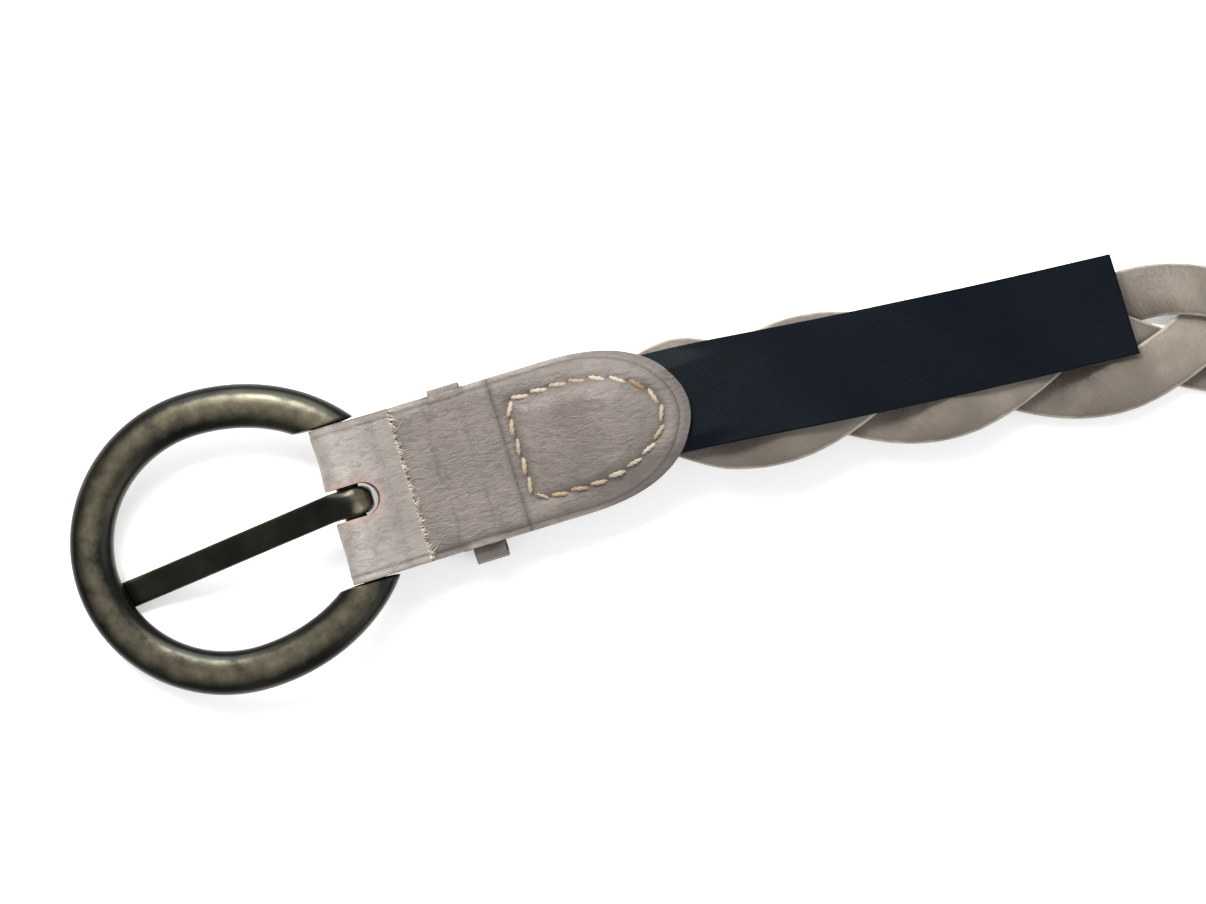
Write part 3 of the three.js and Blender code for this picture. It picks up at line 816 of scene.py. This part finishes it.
def thread_finish():
    """Two-ply thread: each stitch in its own shade from cream to tan, with fine fibres across it."""
    uniform = {"Roughness": 0.62, "Specular_IOR_Level": 0.35, "Sheen_Weight": 0.3}
    material, tree = new_finish("waxed_thread", **uniform)
    fibres = noise(object_place(tree), 3200, 3)
    cream, straw, tan, brown = srgb(166, 155, 138), srgb(150, 134, 113), srgb(126, 101, 76), srgb(112, 83, 55)
    shades = ramp(carried(tree, "shade"), [(0.0, cream), (0.45, straw), (0.8, tan), (1.0, brown)])
    dusty = ranged(fibres, 0.35, 0.6, 0.4, 0.0)
    colour = layered(shades, (dusty, srgb(140, 118, 92)))
    return patterned(material, Base_Color=colour, Normal=bumps((fibres, 0.00008, 0.6)))


waxed_thread = thread_finish()


def stitch_points(starts, ends, radius, side, seed, rows=12, around=10):
    """Each stitch is a tube from hole to hole that arches away from the leather and is thickest in
    its middle. Two plies twisted round each other make its section a turning figure of eight."""
    count = len(starts)
    u = np.linspace(0, 1, rows)[None, :, None]
    turn = full_turn(around)[None, None, :]
    random = np.random.default_rng(seed)
    jitter = random.normal(0, 0.07, (count, 2, 1))
    run = ends - starts
    ahead = run / np.linalg.norm(run, axis=1)[:, None]
    left = np.cross([0, 0, 1.0], ahead)
    left /= np.linalg.norm(left, axis=1)[:, None]
    up = np.cross(ahead, left) * side
    arch = np.sin(np.pi * np.clip(u, 0, 1)) ** 0.45
    slant = (0.5 - u) * stitch_slant + jitter[:, :1] * np.sin(np.pi * u)
    centre = starts[:, None, :] + run[:, None, :] * (0.03 + 0.94 * u)
    centre = centre + up[:, None, :] * (radius * (1.25 * arch - 0.75)) + left[:, None, :] * slant
    twist = 2 * np.pi * u * ply_turns + random.uniform(0, 6, (count, 1, 1))
    plies = 1 + ply_depth * np.cos(2 * (turn - twist))
    size = radius * (1 + jitter[:, 1:]) * (0.35 + 0.65 * arch) * plies
    sideways, lifted = (size * np.cos(turn))[..., None], (size * np.sin(turn))[..., None]
    offset = left[:, None, None, :] * sideways + up[:, None, None, :] * lifted
    shade = np.broadcast_to(random.beta(1.1, 1.9, (count, 1, 1)), size.shape)
    return centre[:, :, None, :] + offset, shade


def sew(name, stands_for, holes, heights, radius, side, seed):
    """All the stitches of one seam as one piece: closed tubes from each needle hole to the next, on
    the side that faces up, 1, or down, -1."""
    ends = np.column_stack([holes, np.broadcast_to(heights, len(holes))])
    points, shade = stitch_points(ends, np.roll(ends, -1, 0), radius, side, seed)
    count, rows, around = points.shape[:3]
    faces = capped_faces(rows, around, count)
    make_piece(name, points, faces, [waxed_thread], "belt", "sewing_thread", stands_for, shade=shade)


heights = patch_height(*chape_holes.T) + leather / 2 + stitch_lift
sew("inner_stitches", ["chape_seam_inner"], chape_holes, heights, radius=0.52, side=1, seed=3)
sew("outer_stitches", ["chape_seam_outer"], chape_holes, front_bottom, radius=0.5, side=-1, seed=4)

# Strands: three flat strips of soft pale leather, plaited under and over each other the whole length
# of the strap. Each is a little cupped, with edges turned down, and creased where it turns back.
belt_length = 900.0
tip_length = 70.0
tip_width = 33.0
tip_seam_inset = 4.5
tip_start = belt_length - tip_length
strand_width = 12.4
strand_half = strand_width / 2
strands_start = chape_length - 17
strands_end = tip_start + 20
cut_wander = 0.15
first_crossing = 42.8
braid_swing = 0.823 * strand_width
braid_run = tip_start - first_crossing
braid_pitch = braid_run / round(braid_run / 112.5)
open_braid_height = braid_half_thickness + 0.05
tip_braid_height = leather + gap + braid_half_thickness
draw_in = 1 - (tip_width / 2 - tip_seam_inset) / (braid_swing + strand_half)
sewn_before = 17.0
widen_length = 22.1
rise_length = 60.0
sway_slope = 0.148
sway_start, sway_length = 50.0, 40.0
straighten_start, straighten_length = 230.0, 160.0


def ease_sum(t):
    """The area under ease(), which grows without end after 1."""
    u = np.clip(t, 0, 1)
    return u**3 - u**4 / 2 + np.maximum(t - 1, 0)


def sway(x):
    """Sideways place of the belt's middle line: it leaves the chape at a slight angle, then runs straight."""
    leaving = sway_length * ease_sum((x - sway_start) / sway_length)
    return -sway_slope * (leaving - straighten_length * ease_sum((x - straighten_start) / straighten_length))


def braid_height(x):
    """Height of the braid's middle: high in the chape, down on the surface, then up inside the tip."""
    fall = ease((x - chape_length) / braid_pitch)
    rise = ease((x - tip_start + rise_length) / rise_length)
    lowered = chape_braid_height + (open_braid_height - chape_braid_height) * fall
    return lowered + (tip_braid_height - open_braid_height) * rise


def squeeze(x):
    """Share of its full width that the braid has: drawn in between the seams of both sewn ends."""
    near_chape = 1 - ease((x - chape_length + sewn_before) / widen_length)
    near_tip = ease((x - tip_start + sewn_before) / sewn_before)
    return 1 - draw_in * near_chape - draw_in * near_tip


def strand_lift(phase, share):
    """Height over the braid's middle: the sums of sines that keep each strand clear of the next."""
    lean = 0.13 * np.cos(phase) + 0.32 * np.cos(3 * phase)
    return -strand_spacing * (0.86 * np.sin(2 * phase) + 0.23 * np.sin(6 * phase) + share * lean)


def strand_surface(order, seed):
    """The strip's middle line swings as a sine across the belt, a third of a pitch after the last. Its
    section is flat below and cupped above, with round edges; its edges wander a little as cut."""
    random = np.random.default_rng(seed)
    along = np.linspace(strands_start, strands_end, 640)[:, None]
    turn = full_turn(30)[None, :]
    share, side = powered(np.cos(turn), 0.72), powered(np.sin(turn), 0.5)
    phase = 2 * np.pi * (along - first_crossing) / braid_pitch + 2 * np.pi * order / 3
    angle = np.arctan(braid_swing * 2 * np.pi / braid_pitch * np.cos(phase))
    starts = random.normal(0, 1, (2, 14))
    wander = sum(np.sin(along / (6 + 5 * k) + starts[0, k] * 6) * 0.1 / (1 + 0.2 * k) for k in range(8))
    offset = share * (strand_half - cut_wander + 0.5 * wander * np.abs(share))
    x = along - offset * np.sin(angle)
    y = sway(x) + squeeze(x) * (braid_swing * np.sin(phase) + offset * np.cos(angle))
    lift = strand_lift(phase, share)
    under = ease((-lift / strand_spacing - 0.1) / 0.8)
    cup = 0.52 * (1 - share**2) - 0.28 * np.abs(share) ** 3
    turning = np.abs(np.sin(phase)) ** 6
    inner_side = np.clip(0.6 - share * np.sign(np.sin(phase)), 0, 1)
    folds = 0.19 * np.sin(along * 1.15 + 1.6 * share + starts[1, order]) + 0.08 * np.sin(along * 2.9)
    z = braid_height(x) + lift + side * strand_thickness / 2 + cup + turning * inner_side * folds
    # Painted shade: where the strip turns back, most towards its sides, and where it lies under the others.
    shade = np.maximum(turning * (0.4 + 0.6 * np.abs(share)), under)
    cut = np.broadcast_to(np.abs(share), x.shape)
    return np.stack([x, y, z], -1), cut, shade, joined(along, offset, z) * 0.001


def strand_finish():
    """Soft leather on the strip's own place: mottled, with pores all over and creases across it that
    deepen where it turns, pale at its cut edges with a dark line inside them, and painted shade that
    darkens its pores and creases, where it turns and where it lies under."""
    uniform = {"Specular_IOR_Level": 0.42, "Sheen_Weight": 0.15, "Sheen_Roughness": 0.5}
    material, tree = new_finish("strand_leather", **uniform)
    place, turning = carried(tree, "place", "Vector"), carried(tree, "turning")
    clouds = noise(place, 70, 4, 0.5, 0.3)
    creases = noise(stretched(place, (1.0, 0.4, 1.0)), 1100, 3, 0.55, 0.6)
    pores = pore_distance(place, 1900)
    ragged = product(noise(place, 400, 3), 0.12, carried(tree, "edge"))
    black, grey = (0, 0, 0), (0.45, 0.45, 0.45)
    shades = [(0.28, srgb(92, 84, 75)), (0.5, srgb(109, 101, 91)), (0.75, srgb(134, 125, 114))]
    body = layered(
        ramp(clouds, shades),
        # Darker in the creases, where the strip turns, and in the pores: painted shade.
        (ranged(creases, 0.33, 0.5, 0.25, 0.0), srgb(96, 86, 77)),
        (product(turning, 0.75), srgb(66, 57, 49)),
        (ranged(pores, 0.1, 0.45, 0.22, 0.0), srgb(96, 82, 70)),
        (ramp(ragged, [(0.86, black), (0.93, grey), (0.97, black)]), srgb(84, 75, 67)),
        (ranged(ragged, 0.95, 1.06, 0.0, 0.75), srgb(172, 163, 151)),
    )
    return patterned(
        material,
        Base_Color=body,
        Roughness=ranged(clouds, 0, 1, 0.42, 0.6),
        Normal=bumps((creases, 0.00035, product(turning, 0.75, 0.3)), (pores, 0.00008, 0.5)),
    )


strand_leather = strand_finish()
pattern_shift = np.array([0.9, 0.05, 0])
for order in range(3):
    # Its 'turning' value is the painted shade where the strip turns and where it lies under.
    points, cut, turning, place = strand_surface(order, 20 + order)
    name, stands_for, faces = f"strip_{order + 1}", f"strand_{order + 1}", capped_faces(*points.shape[:2])
    make_piece(
        name, points, faces, [strand_leather], "belt", "strand_leather", [stands_for],
        edge=cut, turning=turning, place=place + order * pattern_shift,
    )

# Label: a length of plain blue-black satin ribbon, its near end caught under the end patch and its
# far end cut straight. It lies along the braid in low waves, and its edges wave a little.
label_width = 23.0
label_length = 118.0
label_start = 58.0
label_skew = 0.06
label_bow = 0.9
label_hold = 0.45
label_waves = ((0.3, 37.5, 88.0, 0.7), (0.25, 61.0, 0.0, 1.5))


def label_surface():
    """The ribbon's place along the braid: a little askew and bowed, with low waves where it bridges the
    strands, each a sine with its size, length, start and slant, and held down under the patch."""
    x = label_start + label_length * np.linspace(0, 1, 260)[:, None]
    across = label_width / 2 * np.linspace(-1, 1, 60)[None, :]
    bow = label_bow * np.sin(np.pi * (x - label_start) / label_length)
    y = sway(x) + 1 + label_skew * (x - label_start) - bow + across
    waves = sum(
        np.sin(2 * np.pi * (x - start + slant * across) / length) * size
        for size, length, start, slant in label_waves
    )
    curl = 0.3 * (np.abs(across) / (label_width / 2)) ** 6 * np.sin(x / 9.0 + np.sign(across))
    free = ease((x - chape_length) / 20)
    z = braid_height(x) + label_lift + free * (waves * 1.5 - curl * 0.8 + 0.3)
    held = np.minimum(z, patch_arch(x, y) - label_hold)
    round_share = np.sqrt(1 - np.minimum(np.abs(y) / chape_half, 1) ** 2)
    leaves = chape_length - chape_rounding + chape_rounding * round_share
    return joined(x, y, z + (held - z) * (1 - ease((x - leaves) / 16))), across


def satin_finish():
    """Satin weave on the ribbon's own place: slanted waves along it for the steps of its floats, times
    waves across it for its threads, clouded a little, with a soft blue-black shine."""
    uniform = {"Roughness": 0.36, "Specular_IOR_Level": 0.06, "Sheen_Weight": 0.02, "Sheen_Roughness": 0.4}
    material, tree = new_finish("blue_black_satin", **uniform)
    place = carried(tree, "place", "Vector")
    slant = node(tree, "ShaderNodeMapping", {"Vector": place, "Rotation": (0, 0, 0.6)}).outputs["Vector"]
    steps = {"Vector": slant, "Scale": 620.0, "Distortion": 0.6, "Detail": 1.0, "Detail Scale": 2.0}
    floats = node(tree, "ShaderNodeTexWave", steps).outputs["Fac"]
    ribs = {"Vector": place, "Scale": 900.0}
    across = node(tree, "ShaderNodeTexWave", ribs, bands_direction="Y").outputs["Fac"]
    weave = product(floats, across)
    clouds = product(noise(place, 130, 3), 0.35)
    body = ramp(weave, [(0.1, srgb(1, 4, 8)), (0.7, srgb(9, 19, 27))])
    colour = layered(body, (clouds, srgb(10, 20, 28)))
    return patterned(material, Base_Color=colour, Normal=bumps((weave, 0.00008, 0.7)))


points, across = label_surface()
faces = grid_faces(*points.shape[:2])
ribbon = make_piece(
    "ribbon_label", points, faces, [satin_finish()], "belt", "dark_satin", ["satin_label"],
    place=joined(points[..., 0], across, 0) * 0.001,
)
add_wall(ribbon, 0.3)

# Tip: two rounded leather panels sewn together over the other ends of the strands. The outer one is
# flat, and the inner one is padded by the strands and thins out towards its end.
tip_rounding = 22.0
tip_stitch = 4.3
tip_stitch_lift = 0.3
tip_sway = float(sway(np.array(belt_length)))
tip_seam = seam_route(tip_start + seam_edge, belt_length, tip_width, tip_rounding, tip_seam_inset)
tip_holes = stitch_ends(tip_seam, tip_stitch)
tip_panel_top = tip_braid_height + braid_half_thickness + gap


def inner_height(x, y):
    """Middle of the inner panel: up over the strands, down past their ends and to both sides, with a
    channel pressed along the seam and a dimple at each needle hole."""
    low = leather + gap
    fall = ease((x - strands_end) / 26)
    crown = tip_width / 2 - tip_seam_inset + 1
    edge = ease((np.abs(y) - crown) / (tip_width / 2 - crown))
    z = low + (tip_panel_top - low) * (1 - fall) * (1 - edge) + leather / 2
    return z - 0.4 * near(from_route(x, y, tip_seam), 1.0) - 0.3 * near(from_points(x, y, tip_holes), 0.7)


def outer_height(x, y):
    """Middle of the outer panel: flat, and pulled up a little along the seam."""
    return leather / 2 + 0.12 * near(from_route(x, y, tip_seam), 1.0)


x, y, from_edge = rounded_panel(tip_start, belt_length, tip_width, tip_rounding, (60, 60, 80))
# Dark along the painted cut edge, and painted shade round each needle hole.
dark = np.maximum(0.8 * near(from_edge, 0.7), 0.85 * near(from_points(x, y, tip_holes), 0.55))
worn = 0.7 * near(np.abs(from_route(x, y, tip_seam) - 2.2), 1.4)
for name, stands_for, height in (
    ("tip_outer_leather", "tip_front", outer_height), ("tip_inner_leather", "tip_back", inner_height)
):
    middle = np.stack([x, y + tip_sway, height(x, y)], -1)
    leather_sheet(name, stands_for, middle, leather, panel_taupe, worn=worn, edge=dark)

# Tip seam: the same waxed thread in separate stitches through both tip panels. They stand full on
# the inner face, and lie pressed into the outer one.
placed_holes = tip_holes + [0, tip_sway]
heights = inner_height(*tip_holes.T) + leather / 2 + tip_stitch_lift
sew("tip_inner_stitches", ["tip_seam"], placed_holes, heights, radius=0.5, side=1, seed=5)
sew("tip_outer_stitches", [], placed_holes, 0.42, radius=0.4, side=-1, seed=6)

# Floor, light and camera: the belt lies on plain pale paper under two large soft lamps and a narrow
# one, which draws the bright line on the brass. The camera looks straight down on the buckle end,
# turned so that the belt runs up to the right and out of view.
floor_half = 6
lamp_white = (1.0, 0.99, 0.97)
lamp_cool = (0.97, 0.98, 1.0)
view_centre = (-0.3617, 0.0036, 0.008)
camera_distance = 0.6


def paper_finish():
    """Near-white paper in faint clouds, which glows a little so that its shadows stay pale."""
    uniform = {"Roughness": 0.9, "Specular_IOR_Level": 0.1}
    glow = {"Emission_Color": (1, 1, 1, 1), "Emission_Strength": 0.3}
    material, tree = new_finish("pale_paper", **uniform, **glow)
    clouds = noise(object_place(tree), 2.5, 2)
    shades = [(0.3, (0.93, 0.93, 0.93)), (0.7, (0.96, 0.96, 0.96))]
    return patterned(material, Base_Color=ramp(clouds, shades))


floor_mesh = bpy.data.meshes.new("floor")
floor_corners = [(x * floor_half, y * floor_half, 0) for x, y in ((-1, -1), (1, -1), (1, 1), (-1, 1))]
floor_mesh.from_pydata(floor_corners, [], [(0, 1, 2, 3)])
floor_mesh.materials.append(paper_finish())
floor = add_object("floor", floor_mesh)


def soft_lamp(name, place, size, power, colour):
    """A square lamp of the given size in metres that faces the middle of the view."""
    lamp = bpy.data.lights.new(name, "AREA")
    lamp.shape, lamp.size, lamp.energy, lamp.color = "SQUARE", size, power, colour
    made = add_object(name, lamp)
    made.location = place
    made.rotation_euler = (Vector(view_centre) - Vector(place)).to_track_quat("-Z", "Y").to_euler()


soft_lamp("upper_lamp", (-0.42, 0.75, 0.72), 0.8, 15, lamp_white)
soft_lamp("narrow_lamp", (-0.5, 0.42, 0.6), 0.12, 3.5, lamp_white)
soft_lamp("side_lamp", (0.1, -0.6, 0.9), 1.0, 5, lamp_cool)
world = bpy.data.worlds.new("studio")
world.use_nodes = True
world.node_tree.nodes["Background"].inputs["Color"].default_value = (1, 1, 1, 1)
world.node_tree.nodes["Background"].inputs["Strength"].default_value = 0.52
bpy.context.scene.world = world
bpy.context.scene.view_settings.view_transform = "Standard"

camera = bpy.data.cameras.new("camera")
camera.sensor_width = 36
camera.lens = 80.9
camera_object = add_object("camera", camera)
right, up, out = (0.957, -0.291, 0.0), (0.291, 0.957, 0.0), (0.0, 0.0, 1.0)
eye = np.array(view_centre) + camera_distance * np.array(out)
facing = np.eye(4)
facing[:3] = np.column_stack([right, up, out, eye])
camera_object.matrix_world = Matrix(facing.tolist())
bpy.context.scene.camera = camera_object

bpy.context.view_layer.update()
